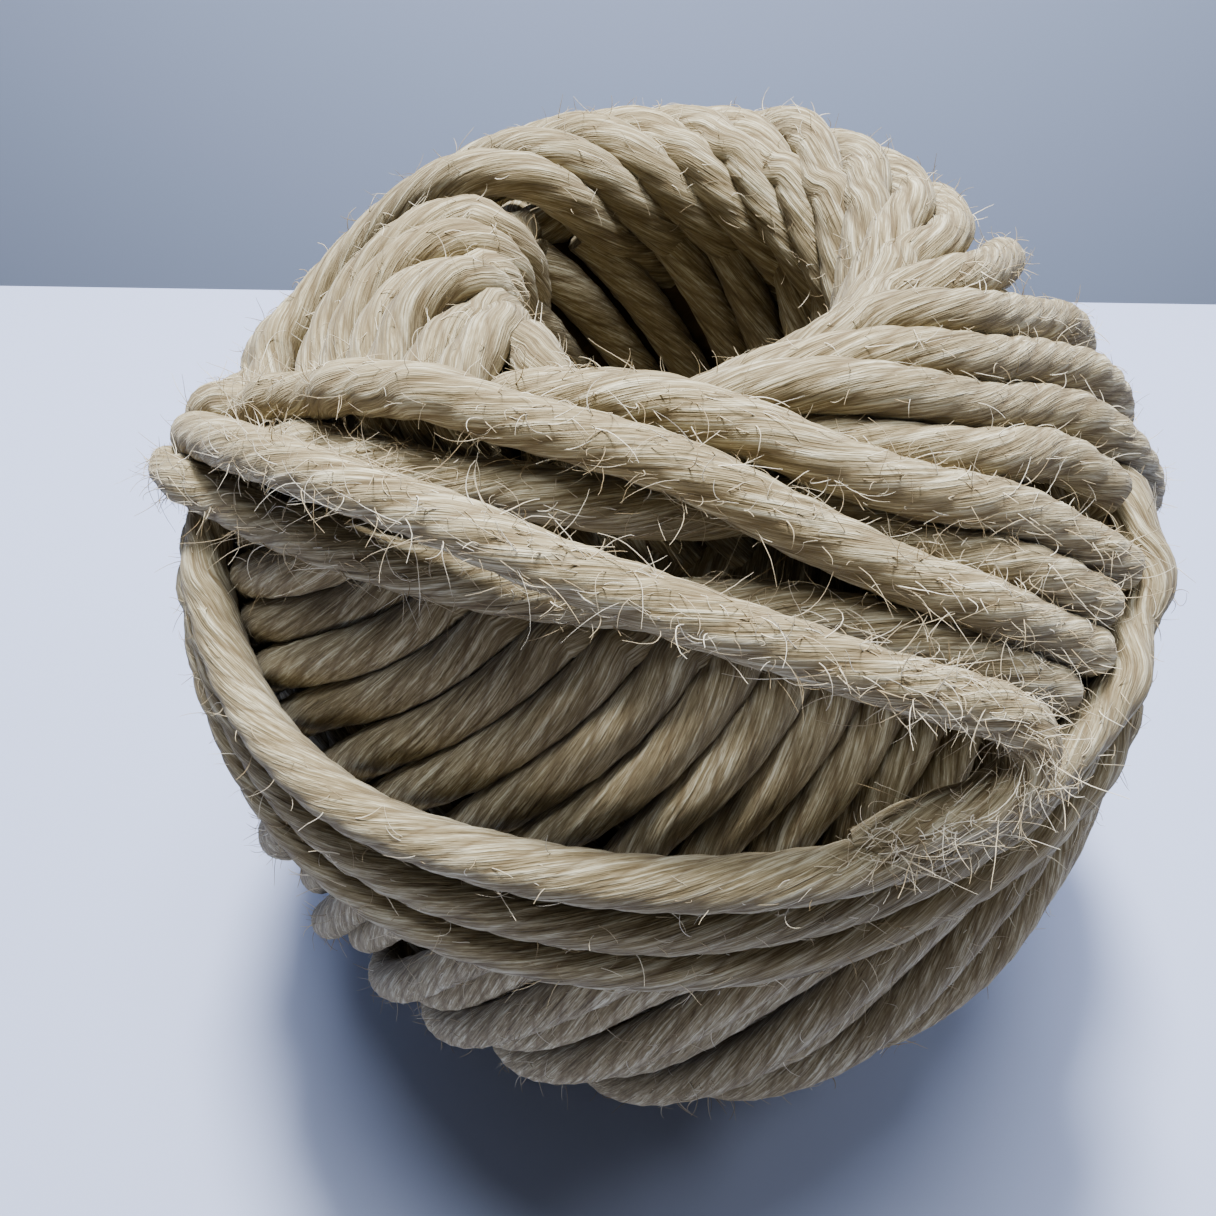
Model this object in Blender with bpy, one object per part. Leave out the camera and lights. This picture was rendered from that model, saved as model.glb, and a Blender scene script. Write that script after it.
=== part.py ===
"""A ball of soft-twisted string, wound with an open centre, and the last strand that is tucked in.

Metres, +Z up. The ball stands on the small flat ring under it, round the lower end of its centre hole,
and the origin is the middle of that ring. The front of the ball, which the crossing turns pass over,
faces -Y. Azimuths are in degrees from the front, growing towards +X. Latitudes are seen from the
ball's centre, 90 at the top.
"""

import math

import bmesh
import bpy
from mathutils import Vector

# Driving dimensions
STRING = 0.0035  # diameter of the string
RADIUS = 0.042  # from the ball's centre to its outermost turns
CENTRE_HEIGHT = 0.89 * RADIUS  # the turns underneath are pressed flat at this depth
LAYER = 0.8 * STRING  # how far one layer of turns stands on the one below
STATION = 0.0034  # spacing of the rings along the wound form
MERIDIANS = 84  # steps round the ball
TURN_COLOUR = (0.52, 0.43, 0.31, 1.0)
TUCKED_COLOUR = (0.60, 0.51, 0.38, 1.0)

# The wound form under the last layer, from the middle of the hole over the top and back from below:
# (place, distance from the axis, height over the ball's centre), in shares of RADIUS
WOUND_FORM = (
    ("hole middle", 0.235, 0.00),
    ("upper neck", 0.235, 0.48),
    ("upper mouth", 0.265, 0.71),
    ("upper crest", 0.400, 0.845),
    ("shoulder", 0.615, 0.695),
    ("upper side", 0.805, 0.470),
    ("waist", 0.905, 0.200),
    ("middle", 0.930, -0.030),
    ("lower side", 0.940, -0.280),
    ("haunch", 0.855, -0.560),
    ("lower shoulder", 0.660, -0.800),
    ("lower crest", 0.430, -0.903),
    ("lower mouth", 0.275, -0.780),
    ("lower neck", 0.235, -0.500),
)

# Main twists: shallow ridges that wind outwards over the rim, and lean the other way below the waist
RIDGES = 14
RIDGE_HEIGHT = 0.12 * STRING
RIDGE_CLEARANCE = 4.0  # degrees from the middle of the waist turns to where the ridges start
SWIRL = 1.15  # degrees of azimuth for each degree down from the top
LEAN = 1.05  # degrees of azimuth for each degree up, below the waist

# The turns drawn round the waist
WAIST_LATITUDE = 16.0
WAIST_HALF_WIDTH = 8.0

# Lower edge of the turns that cross the front: (azimuth, latitude). Below it, down to the waist, the
# layer underneath shows.
CROSSING_EDGE = (
    (-92.0, 17.0),
    (-82.0, 31.0),
    (-66.0, 41.0),
    (-48.0, 46.5),
    (-27.0, 49.0),
    (-4.0, 46.5),
    (14.0, 42.0),
    (27.0, 37.0),
    (36.0, 28.0),
    (40.0, 17.0),
)
EDGE_SOFTNESS = 5.0  # degrees over which a layer's edge rounds off
MOUTH_START = 0.24  # share of RADIUS from the axis where the last layer begins to dive into the hole
MOUTH_WIDTH = 0.18  # share of RADIUS over which it does

# Middle line of the tucked end, from where it lifts off the turns at the left, across the front, round
# its bend and down to the waist turns: (x, y, z) in metres
TUCKED_ROUTE = (
    (-0.0376, -0.0040, 0.0592),
    (-0.0345, -0.0086, 0.0632),
    (-0.0302, -0.0134, 0.0666),
    (-0.0248, -0.0180, 0.0692),
    (-0.0191, -0.0220, 0.0709),
    (-0.0129, -0.0253, 0.0716),
    (-0.0070, -0.0281, 0.0713),
    (-0.0021, -0.0297, 0.0707),
    (0.0027, -0.0309, 0.0697),
    (0.0073, -0.0314, 0.0683),
    (0.0115, -0.0316, 0.0666),
    (0.0156, -0.0313, 0.0647),
    (0.0193, -0.0309, 0.0627),
    (0.0215, -0.0310, 0.0606),
    (0.0213, -0.0321, 0.0584),
    (0.0190, -0.0336, 0.0572),
    (0.0164, -0.0344, 0.0565),
    (0.0138, -0.0351, 0.0558),
    (0.0115, -0.0355, 0.0551),
)
TUBE_POINTS_PER_STRING = 0.5  # points along the tube for each string diameter of length


def smooth_step(value):
    share = min(max(value, 0.0), 1.0)
    return share * share * (3.0 - 2.0 * share)


def curve_point(before, start, end, after, share):
    """A point between start and end on the smooth (Catmull-Rom) curve through four points."""
    return (
        start * 2.0
        + (end - before) * share
        + (before * 2.0 - start * 5.0 + end * 4.0 - after) * share**2
        + (start * 3.0 - before - end * 3.0 + after) * share**3
    ) * 0.5


def smooth_curve(points, closed, steps=24):
    """Fine points on a smooth curve through the given ones."""
    count = len(points)
    spans = count if closed else count - 1
    fine = []
    for span in range(spans):
        picks = [span - 1, span, span + 1, span + 2]
        if closed:
            picks = [pick % count for pick in picks]
        else:
            picks = [min(max(pick, 0), count - 1) for pick in picks]
        near = [points[pick] for pick in picks]
        fine.extend(curve_point(*near, step / steps) for step in range(steps))
    fine.append(points[0] if closed else points[-1])
    return fine


def evenly_spaced(fine, count):
    """count + 1 points at equal distances along a line of fine points, both ends included."""
    lengths = [0.0]
    for start, end in zip(fine, fine[1:]):
        lengths.append(lengths[-1] + (end - start).length)
    found = []
    span = 0
    for step in range(count + 1):
        wanted = lengths[-1] * step / count
        while span < len(fine) - 2 and lengths[span + 1] < wanted:
            span += 1
        share = (wanted - lengths[span]) / (lengths[span + 1] - lengths[span])
        found.append(fine[span].lerp(fine[span + 1], share))
    return found


def curve_length(fine):
    return sum((end - start).length for start, end in zip(fine, fine[1:]))


def crossing_edge_latitude(azimuth):
    """Latitude of the crossing turns' lower edge, or None outside their stretch."""
    for (az_a, lat_a), (az_b, lat_b) in zip(CROSSING_EDGE, CROSSING_EDGE[1:]):
        if az_a <= azimuth <= az_b:
            return lat_a + (lat_b - lat_a) * (azimuth - az_a) / (az_b - az_a)
    return None


def last_layer_share(azimuth, latitude):
    """How much of the last layer lies here: all of it over the top and shoulders, none below the waist
    nor in the gap between the crossing turns and the waist."""
    above_waist = smooth_step((latitude - WAIST_LATITUDE) / EDGE_SOFTNESS)
    edge = crossing_edge_latitude(azimuth)
    if edge is None:
        return above_waist
    return above_waist * smooth_step((latitude - edge) / EDGE_SOFTNESS)


def relief(place):
    """How far the surface stands out from the wound form at this place."""
    from_axis = math.hypot(place.x, place.y)
    azimuth = math.degrees(math.atan2(place.x, -place.y))
    latitude = math.degrees(math.atan2(place.z, from_axis))
    outside_hole = smooth_step((from_axis / RADIUS - MOUTH_START) / MOUTH_WIDTH)

    layer = LAYER * last_layer_share(azimuth, latitude)
    waist = smooth_step((WAIST_HALF_WIDTH - abs(latitude - WAIST_LATITUDE)) / EDGE_SOFTNESS)

    if latitude > WAIST_LATITUDE:
        winding = azimuth - SWIRL * (90.0 - latitude)
    else:
        winding = azimuth - LEAN * latitude
    fade = smooth_step((abs(latitude - WAIST_LATITUDE) - RIDGE_CLEARANCE) / WAIST_HALF_WIDTH)
    ridge = RIDGE_HEIGHT * fade * math.cos(math.radians(RIDGES * winding))

    return outside_hole * (max(layer, LAYER * waist) + ridge)


def spun_form():
    """The wound form: its outline spun round the axis."""
    outline = [Vector((r * RADIUS, 0.0, z * RADIUS)) for _, r, z in WOUND_FORM]
    fine = smooth_curve(outline, closed=True)
    rings = round(curve_length(fine) / STATION)
    stations = evenly_spaced(fine, rings)[:-1]
    form = bmesh.new()
    points = [form.verts.new(station) for station in stations]
    edges = [form.edges.new((a, b)) for a, b in zip(points, points[1:] + points[:1])]
    bmesh.ops.spin(
        form,
        geom=points + edges,
        cent=(0.0, 0.0, 0.0),
        axis=(0.0, 0.0, 1.0),
        angle=2.0 * math.pi,
        steps=MERIDIANS,
        use_merge=True,
    )
    bmesh.ops.recalc_face_normals(form, faces=form.faces)
    form.normal_update()
    return form


def wound_ball():
    """The wound body: the spun form, raised by its twists, with its underside pressed flat."""
    form = spun_form()
    lifts = [(point, point.normal * relief(point.co)) for point in form.verts]
    for point, lift in lifts:
        point.co += lift
        point.co.z = max(point.co.z, -CENTRE_HEIGHT)
    mesh = bpy.data.meshes.new("wound_ball")
    form.to_mesh(mesh)
    form.free()
    mesh.shade_smooth()
    ball = bpy.data.objects.new("wound_ball", mesh)
    ball.location.z = CENTRE_HEIGHT
    return ball


def tucked_end():
    """The last strand, as a plain tube along its route."""
    fine = smooth_curve([Vector(point) for point in TUCKED_ROUTE], closed=False)
    count = round(curve_length(fine) / STRING * TUBE_POINTS_PER_STRING)
    points = evenly_spaced(fine, count)
    line = bpy.data.curves.new("tucked_end", "CURVE")
    line.dimensions = "3D"
    line.bevel_depth = STRING / 2.0
    line.bevel_resolution = 2
    line.use_fill_caps = True
    run = line.splines.new("POLY")
    run.points.add(len(points) - 1)
    for slot, point in zip(run.points, points):
        slot.co = (*point, 1.0)
    return bpy.data.objects.new("tucked_end", line)


def string_finish(name, colour):
    """Dull plant fibre."""
    finish = bpy.data.materials.new(name)
    finish.use_nodes = True
    surface = finish.node_tree.nodes["Principled BSDF"]
    surface.inputs["Base Color"].default_value = colour
    surface.inputs["Roughness"].default_value = 0.85
    surface.inputs["Metallic"].default_value = 0.0
    return finish


def main():
    for leftover in list(bpy.data.objects):
        bpy.data.objects.remove(leftover)
    pieces = (
        (wound_ball(), string_finish("wound_string", TURN_COLOUR)),
        (tucked_end(), string_finish("tucked_string", TUCKED_COLOUR)),
    )
    for piece, finish in pieces:
        piece.data.materials.append(finish)
        bpy.context.scene.collection.objects.link(piece)


main()
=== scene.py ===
"""The looks of a ball of soft four-ply string: its turns laid over the wound form, settled against each
other and spun into string, and its loose fibres.

Places on the ball are given as (azimuth, station, lift). The azimuth is in degrees from the front,
which faces -Y, growing towards +X. The station is the distance along the wound form's outline from the
crest of the upper rim, in string diameters: below 0 it is inside the hole, and it grows down the
outside of the ball. The lift is how far the string's middle is above the wound form, in diameters.
"""

import math

import bpy
import numpy as np
from mathutils import Matrix, Vector
from mathutils.kdtree import KDTree


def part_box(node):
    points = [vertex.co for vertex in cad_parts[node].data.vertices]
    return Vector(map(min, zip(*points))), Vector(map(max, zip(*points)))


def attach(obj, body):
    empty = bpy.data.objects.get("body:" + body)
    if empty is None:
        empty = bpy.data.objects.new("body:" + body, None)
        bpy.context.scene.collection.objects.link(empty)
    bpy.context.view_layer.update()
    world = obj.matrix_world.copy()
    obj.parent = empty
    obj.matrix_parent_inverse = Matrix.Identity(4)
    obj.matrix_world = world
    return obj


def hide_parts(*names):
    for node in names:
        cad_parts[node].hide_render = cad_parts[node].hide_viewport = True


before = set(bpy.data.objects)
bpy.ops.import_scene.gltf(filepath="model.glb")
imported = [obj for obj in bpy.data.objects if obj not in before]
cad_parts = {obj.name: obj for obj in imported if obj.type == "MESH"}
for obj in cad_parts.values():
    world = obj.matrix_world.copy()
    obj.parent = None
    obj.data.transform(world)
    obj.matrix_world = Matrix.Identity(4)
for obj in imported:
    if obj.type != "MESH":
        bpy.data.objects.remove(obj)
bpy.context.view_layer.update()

BALL_LOW, BALL_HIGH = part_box("wound_ball")

# Sizes that the frame gives
WAIST_SHARE = 0.9666  # the frame's waist turns reach this share of the ball's radius from its axis
RADIUS = (BALL_HIGH.x - BALL_LOW.x) / 2.0 / WAIST_SHARE
STRING = RADIUS / 12.0  # diameter of the string
CENTRE = np.array([0.0, 0.0, 0.89 * RADIUS])  # the turns underneath are pressed flat at that depth

# The record's material slots
WOUND_SLOT = "wound_string"
TUCKED_SLOT = "tucked_string"

# The string
PLIES = 4
PLY_LAY = 3.7  # string diameters for one full turn of a ply
FIBRE_LAY = 9.5  # string diameters in which a fibre on the surface goes once round
PLY_GROOVE = 0.075  # depth of the grooves between its plies, as a share of its radius

# The wound form's outline, as in the frame: distance from the axis and height over the centre, in radii
WOUND_FORM = (
    ("hole middle", 0.235, 0.00),
    ("upper neck", 0.235, 0.48),
    ("upper mouth", 0.265, 0.71),
    ("upper crest", 0.400, 0.845),
    ("shoulder", 0.615, 0.695),
    ("upper side", 0.805, 0.470),
    ("waist", 0.905, 0.200),
    ("middle", 0.930, -0.030),
    ("lower side", 0.940, -0.280),
    ("haunch", 0.855, -0.560),
    ("lower shoulder", 0.660, -0.800),
    ("lower crest", 0.430, -0.903),
    ("lower mouth", 0.275, -0.780),
    ("lower neck", 0.235, -0.500),
)
CREST_ROW = 3  # the row of the upper crest, where the stations start
OUTLINE_STEPS = 40  # fine points from one row to the next

# The tucked end's middle line, as in the frame, in metres
TUCKED_ROUTE = (
    (-0.0376, -0.0040, 0.0592),
    (-0.0345, -0.0086, 0.0632),
    (-0.0302, -0.0134, 0.0666),
    (-0.0248, -0.0180, 0.0692),
    (-0.0191, -0.0220, 0.0709),
    (-0.0129, -0.0253, 0.0716),
    (-0.0070, -0.0281, 0.0713),
    (-0.0021, -0.0297, 0.0707),
    (0.0027, -0.0309, 0.0697),
    (0.0073, -0.0314, 0.0683),
    (0.0115, -0.0316, 0.0666),
    (0.0156, -0.0313, 0.0647),
    (0.0193, -0.0309, 0.0627),
    (0.0215, -0.0310, 0.0606),
    (0.0213, -0.0321, 0.0584),
    (0.0190, -0.0336, 0.0572),
    (0.0164, -0.0344, 0.0565),
    (0.0138, -0.0351, 0.0558),
    (0.0115, -0.0355, 0.0551),
)

# Turns that cross the front, one row a strand: its name, then (azimuth, station, lift) along it
CROSSING_TURNS = (
    ("upper crossing", (
        (-62, 2.4, -0.2), (-50, 1.5, 0.0), (-36, 0.8, 0.2), (-23, 0.35, 0.5), (-8, 0.1, 0.6),
        (6, 0.3, 0.6), (17, 0.8, 0.6), (27, 1.6, 0.6), (36, 2.4, 0.6), (45, 3.4, 0.6),
        (54, 4.5, 0.5), (60, 5.5, 0.2), (64, 6.4, -0.3), (68, 7.4, -1.2),
    )),
    ("front crossing", (
        (-93, 8.4, -1.2), (-87, 6.9, -0.6), (-80, 5.3, 0.1), (-72, 3.8, 0.5), (-59, 2.2, 0.8),
        (-43, 1.2, 1.0), (-24, 0.95, 1.1), (-6, 1.05, 1.1), (5, 1.4, 1.1), (12, 1.95, 1.05),
        (20, 2.6, 1.0), (27, 3.35, 0.9), (35, 4.2, 0.8), (43, 5.3, 0.55), (49, 6.3, 0.2),
        (54, 7.1, -0.4), (58, 7.9, -1.2),
    )),
    ("under crossing", (
        (-78, 5.8, 0.1), (-66, 4.1, 0.3), (-55, 3.0, 0.4), (-36, 2.1, 0.4), (-17, 1.8, 0.3),
        (-5, 1.85, 0.2), (4, 1.85, 0.1), (12, 1.75, 0.1), (20, 1.8, 0.3), (30, 2.4, 0.5),
        (39, 3.35, 0.55), (47, 4.5, 0.5), (53, 5.6, 0.3), (58, 6.7, -0.3), (63, 7.8, -1.2),
    )),
    ("low crossing", (
        (-125, 17.8, -1.9), (-121, 16.5, -1.1), (-116, 15.2, -0.1), (-109, 13.2, 0.45),
        (-101, 11.2, 0.55), (-93, 9.3, 0.6), (-82, 7.55, 0.6), (-70, 6.1, 0.6), (-54, 4.9, 0.6),
        (-43, 4.25, 0.5), (-33, 3.9, 0.4), (-22, 3.6, 0.3), (-8, 3.4, 0.2), (5, 3.4, 0.3),
        (15, 3.55, 0.45), (23, 4.05, 0.5), (31, 4.7, 0.5), (37, 5.4, 0.4), (43, 6.3, 0.2),
        (48, 7.2, -0.3), (52, 8.0, -1.2),
    )),
)

# The strand that the tucked end is the end of, from there down the left side: (azimuth, station, lift)
RUN_TO_THE_END = (
    (-84.0, 5.75, 1.15), (-91, 7.1, 0.95), (-99, 8.8, 0.65), (-107, 10.7, 0.5), (-115, 12.8, 0.45),
    (-121, 14.6, -0.1), (-125, 15.9, -1.1), (-128, 17.1, -1.9),
)

# Turns that come out of the hole and wind down over the rim. Each row is a guide that some strands
# follow, and those between two guides lie between them: name, strands up to the next guide, points
SWIRL_GUIDES = (
    ("front left", 6, (
        (-64, -3.8, -1.6), (-60, -3.0, -1.1), (-56, -2.2, -0.6), (-50, -1.3, 0.0), (-44, -0.6, 0.3),
        (-38, 0.0, 0.35), (-32, 0.4, 0.2), (-25, 1.2, -0.1), (-20, 2.0, -0.6), (-16, 2.8, -1.1),
    )),
    ("left", 1, (
        (-126, -4.0, -1.6), (-121, -3.2, -1.1), (-115, -2.5, -0.6), (-110, -1.6, 0.0), (-104, -0.7, 0.3),
        (-98, 0.2, 0.4), (-95, 1.3, 0.4), (-90, 2.3, 0.4), (-80, 3.3, 0.2), (-68, 4.3, -0.3),
        (-60, 5.0, -0.9),
    )),
    ("left rim", 4, (
        (-176, -3.8, -1.6), (-168, -3.1, -1.1), (-157, -2.4, -0.6), (-146, -1.6, 0.0), (-135, -0.9, 0.4),
        (-122, 0.0, 0.65), (-118, 1.2, 0.65), (-114, 2.4, 0.65), (-107, 3.8, 0.55), (-97, 4.9, 0.4),
        (-86, 5.7, -0.1), (-79, 6.5, -0.7), (-73, 7.3, -1.4),
    )),
    ("back", 4, (
        (104, -3.8, -1.6), (112, -3.1, -1.1), (122, -2.5, -0.6), (134, -1.9, -0.05), (146, -1.4, 0.2),
        (157, -0.9, 0.35), (169, -0.1, 0.4), (181, 0.7, 0.4), (192, 1.6, 0.4), (204, 3.0, 0.4),
        (213, 4.6, 0.35), (221, 6.2, 0.1), (227, 7.7, -0.3), (231, 8.8, -1.0),
    )),
    ("right rim", 3, (
        (38, -3.8, -1.6), (46, -3.1, -1.1), (56, -2.4, -0.6), (68, -1.7, 0.0), (79, -1.1, 0.3),
        (90, -0.7, 0.4),
        (106, -0.2, 0.4), (126, 0.4, 0.4), (141, 1.3, 0.4), (154, 3.0, 0.4), (162, 4.6, 0.35),
        (169, 6.2, 0.1), (175, 7.7, -0.2),
    )),
    ("right fan", 2, (
        (-2, -3.4, -1.4), (6, -2.7, -0.8), (15, -2.0, -0.2), (26, -1.3, 0.2), (40, -0.8, 0.4),
        (55, -0.2, 0.5), (67, 0.5, 0.45), (83, 1.8, 0.3), (95, 3.4, 0.25), (103, 5.0, 0.35),
        (109, 7.0, 0.4),
        (116, 9.0, 0.5), (124, 11.0, 0.4), (132, 13.0, 0.1), (140, 15.0, -0.9),
    )),
    ("front right fan", 1, (
        (-12, -1.2, -0.9), (-4, -0.6, -0.2), (7, -0.1, 0.3), (24, 0.3, 0.5), (38, 0.75, 0.5),
        (51, 1.35, 0.45), (63, 2.2, 0.3), (72, 3.2, 0.25), (78, 4.6, 0.35), (84, 6.6, 0.5),
        (91, 9.0, 0.55), (99, 11.2, 0.3), (106, 13.2, -0.7),
    )),
    ("last of the fan", 0, (
        (4, 0.5, -0.8), (15, 0.5, 0.0), (26, 0.75, 0.5), (34, 1.2, 0.55), (43, 1.7, 0.55),
        (52, 2.3, 0.5), (61, 3.05, 0.4), (66, 4.0, 0.2), (69, 4.9, -0.2), (73, 6.0, -1.2),
    )),
)

# The string's three turns round the waist, one after the other, from the right side round by the back:
# (azimuth, stations of the upper, the middle and the lower turn, lift of the upper turn, of the others)
WAIST_TURNS = (
    (90, 5.4, 6.6, 7.8, -0.5, -0.5),
    (108, 5.8, 7.0, 8.2, -0.5, -0.5),
    (130, 6.5, 7.7, 8.8, -0.3, -0.4),
    (155, 7.1, 8.2, 9.2, 0.5, 0.4),
    (200, 7.3, 8.3, 9.3, 0.6, 0.5),
    (230, 7.2, 8.2, 9.3, 0.6, 0.5),
    (248, 6.9, 8.0, 9.1, 0.4, 0.4),
    (260, 6.5, 7.7, 8.8, -0.2, -0.2),
    (272, 6.2, 7.5, 8.6, -0.4, -0.4),
    (284, 6.2, 7.5, 8.6, -0.2, -0.2),
    (290, 6.8, 7.9, 8.9, 0.2, 0.1),
    (296, 7.4, 8.4, 9.3, 0.4, 0.3),
    (303, 8.0, 9.0, 9.9, 0.5, 0.4),
    (311, 8.3, 9.4, 10.3, 0.65, 0.5),
    (319, 8.35, 9.5, 10.4, 0.8, 0.6),
    (330, 8.3, 9.5, 10.4, 0.9, 0.7),
    (343, 8.1, 9.3, 10.3, 0.85, 0.7),
    (360, 8.0, 9.15, 10.1, 0.85, 0.65),
    (380, 8.0, 9.1, 9.9, 0.9, 0.5),
    (390, 8.05, 9.0, 9.7, 0.75, 0.4),
    (400, 8.15, 8.95, 9.6, 0.65, 0.2),
    (410, 8.15, 8.85, 9.5, 0.55, 0.0),
    (417, 7.9, 8.6, 9.3, 0.45, -0.1),
    (423, 7.4, 8.2, 9.0, 0.35, -0.2),
    (429, 6.7, 7.7, 8.6, 0.25, -0.3),
    (435, 6.1, 7.2, 8.2, 0.0, -0.4),
    (441, 5.6, 6.8, 7.9, -0.4, -0.5),
)

# The layer under them leans the other way. How far a strand has turned at each station, in degrees:
# (station, plain lean, lean where the waist turns drag it at the front right)
BODY_STRANDS = 44
BODY_LEAN = (
    (2.4, 83.0, 83.0),
    (4.0, 70.0, 70.0),
    (6.0, 57.0, 57.0),
    (7.5, 48.0, 48.0),
    (9.3, 40.0, 45.0),
    (10.3, 36.0, 37.0),
    (11.5, 32.5, 27.5),
    (13.2, 28.0, 18.0),
    (15.2, 23.0, 9.0),
    (17.0, 18.0, 2.0),
    (19.5, 10.0, -7.0),
    (21.5, 3.0, -14.5),
    (23.5, -7.0, -25.0),
    (25.5, -19.0, -37.0),
    (27.3, -32.0, -50.0),
    (29.0, -45.0, -63.0),
    (31.0, -57.0, -75.0),
)
DRAGGED = (-35.0, 25.0, 60.0, 130.0)  # azimuths between which the drag grows, holds and fades
GROW_AND_FADE = (0.0, 1.0, 1.0, 0.0)
WAIST_LEAN = 38.0  # about how far a body strand has turned where it passes under the waist turns
SHORT_STATION = 21.6  # every other strand goes under its neighbours here, near the foot
PROUD = 0.42  # how far the others stand out over them below the waist, in diameters
PROUD_STATIONS = (10.3, 12.0, 20.0, 24.0)  # between which that grows, holds and fades
BODY_LIFT = -0.5

# Layers whose strands lean evenly: how many strands, how uneven their starts are in degrees, the stations
# of their ends, the station of their start, degrees of lean for each station, lift, and rows a strand
HOLE_LINING = (15, 3.0, (-1.8, -18.5), -1.8, 9.5, -0.55, 12)
UNDER_LAYER = (36, 2.0, (-1.0, 27.0), 0.0, 4.6, -1.4, 16)

# Where the ball bulges at the left: azimuth, station, reach in degrees, reach in diameters, height in
# diameters. The body strands stand out a little more there: azimuth, reach in degrees, height.
BULGE = (-74.0, 7.5, 26.0, 2.8, 0.45)
BODY_SWELL = (-66.0, 20.0, 0.35)

# Settling
ROW_STEPS = 12  # fine points from one row of a strand to the next
ROUTE_STEPS = 24  # the same for the tucked end's route
SPACING = 0.34  # between points along a strand, in string diameters
PRESSED = 0.95  # share of the diameter that two strands keep between their middles
LOWEST_LIFT = -0.56  # no strand is pushed in deeper than this, in diameters
ROUNDS = 140
PAIR_ROUNDS = 10  # rounds between two searches for points that are near each other
PAIR_REACH = 1.3  # how near they have to be, in diameters
SAME_STRAND = 1.6  # how far apart they have to be along one strand, in diameters
PUSHES = 3  # in each round
PUSH_FACTOR = 1.4
STRAIGHTENING = 0.35  # share of its bend that a strand loses in a round
TIGHTENING = 0.005  # how far it is drawn in towards the ball in a round, in diameters

# How strongly a point is drawn back to where it was laid
LAID_PULL = 0.05
WAIST_PULL = 0.08
HIDDEN_PULL = 0.4
JOIN_PULL = 0.9  # where the run to the end meets the tucked end
JOIN_POINTS = 6

# What pushes nothing, because it dives under its neighbours
HIDDEN_ENDS = 3  # points at each end of a strand
HIDDEN_LIFT = -0.75  # what lies lower than this, in diameters
HIDDEN_WAIST_LIFT = -0.15  # the same for the waist turns
HIDDEN_MOUTH = 0.345  # swirl strands nearer to the axis than this, in radii
HIDDEN_TUCKED = (2, 8)  # points at the start and at the end of the tucked end

# The string's unevenness and wear
UNEVEN = (-0.035, 0.045)  # how much thinner and thicker than its diameter the string gets
UNEVEN_EVERY = 6  # points from one such place to the next
WORN_END = (1.0, 0.98, 0.9, 0.75, 0.5)  # thickness at the last points of the tucked end

# Loose fibres: the piece's name, its slot, the strands they stand on, how many, their greatest length in
# diameters, and the lift above which a strand carries them
LOOSE_FIBRES = (
    ("loose_fibres_body", WOUND_SLOT, ("body", "waist"), 2400, 0.8, -0.2),
    ("loose_fibres_swirl", WOUND_SLOT, ("swirl",), 2000, 0.7, -0.2),
    ("loose_fibres_crossing", WOUND_SLOT, ("crossing",), 2200, 1.2, -0.2),
    ("loose_fibres_tucked", TUCKED_SLOT, ("tucked",), 700, 1.5, -1.0),
    ("loose_fibres_bend", TUCKED_SLOT, ("bend",), 420, 0.9, -2.0),
)
FIBRE_START = 14  # points from the tucked end's start to where its loose fibres begin
BEND_POINTS = 22  # points from its bend to its last point
FIBRE_STEPS = 7
FIBRE_SHORTEST = 0.35  # in string diameters
FIBRE_RADIUS = (0.000022, 0.00005)  # thinnest and thickest, in metres
FIBRE_TIP = 0.35  # share of a fibre's thickness that is left at its tip
FIBRE_RISE = (6, 58)  # degrees at which a fibre leaves its strand
FIBRE_LOWEST = 0.0003  # no fibre hangs lower than this over the table, in metres
TABLE_GAP = 0.00002  # what is pressed on the table stays this far above it, in metres

# The closed surface of the layers underneath, which shows between the strands
INNER_DEPTH = 1.15  # under the wound form, in string diameters
INNER_STEPS = 96  # round the ball
INNER_EVERY = 5  # fine points of the outline from one ring to the next
INNER_LOWEST = 0.0004  # over the table, in metres

# Colours of the string, from the dark streaks between its fibres to the pale ones: (place, colour)
STREAKS = (
    (0.34, (0.066, 0.046, 0.021)),
    (0.43, (0.17, 0.132, 0.07)),
    (0.52, (0.29, 0.243, 0.147)),
    (0.65, (0.62, 0.585, 0.44)),
)
COARSE_STREAKS = (4.5, 4.5, 0.55)  # about how many in a radius across the string, and a diameter along it
FINE_STREAKS = (17.0, 17.0, 1.1)
STREAK_HEIGHT = 0.00028  # in metres
# Painted shade: the colour mixed in down in the grooves between the plies, where they shade each other
PAINTED_GROOVE_SHADE = (0.11, 0.073, 0.033)
WARM_COLOUR = (0.24, 0.19, 0.10)
TUCKED_SHADE = 1.06  # the tucked end is this much paler than the rest

# Where the camera stands and what it looks at, beside the ball's middle
CAMERA_ANGLE = 48.0  # degrees above level
CAMERA_DISTANCE = 2.6 * RADIUS
CAMERA_ROLL = -1.78  # degrees
LOOK_BESIDE = (-0.140, -0.019, -0.013)  # in radii
LENS = 34.96  # in millimetres, for a picture 36 mm wide

# Lights: name, place, size in metres, power in watts, colour, and the place they are aimed at
LIGHTS = (
    ("key_light", (-0.03, 0.15, 0.455), 0.08, 6.6, (1.0, 0.98, 0.94), CENTRE),
    ("wall_light", (0.0, 0.15, 0.70), 0.40, 8.4, (0.93, 0.96, 1.0), (0.0, 0.6, 0.05)),
    ("front_light", (-0.06, -0.42, 0.02), 0.12, 0.45, (1.0, 0.92, 0.82), CENTRE),
    ("right_light", (0.36, 0.10, 0.34), 0.14, 0.6, (0.97, 0.98, 1.0), CENTRE),
)

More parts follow.
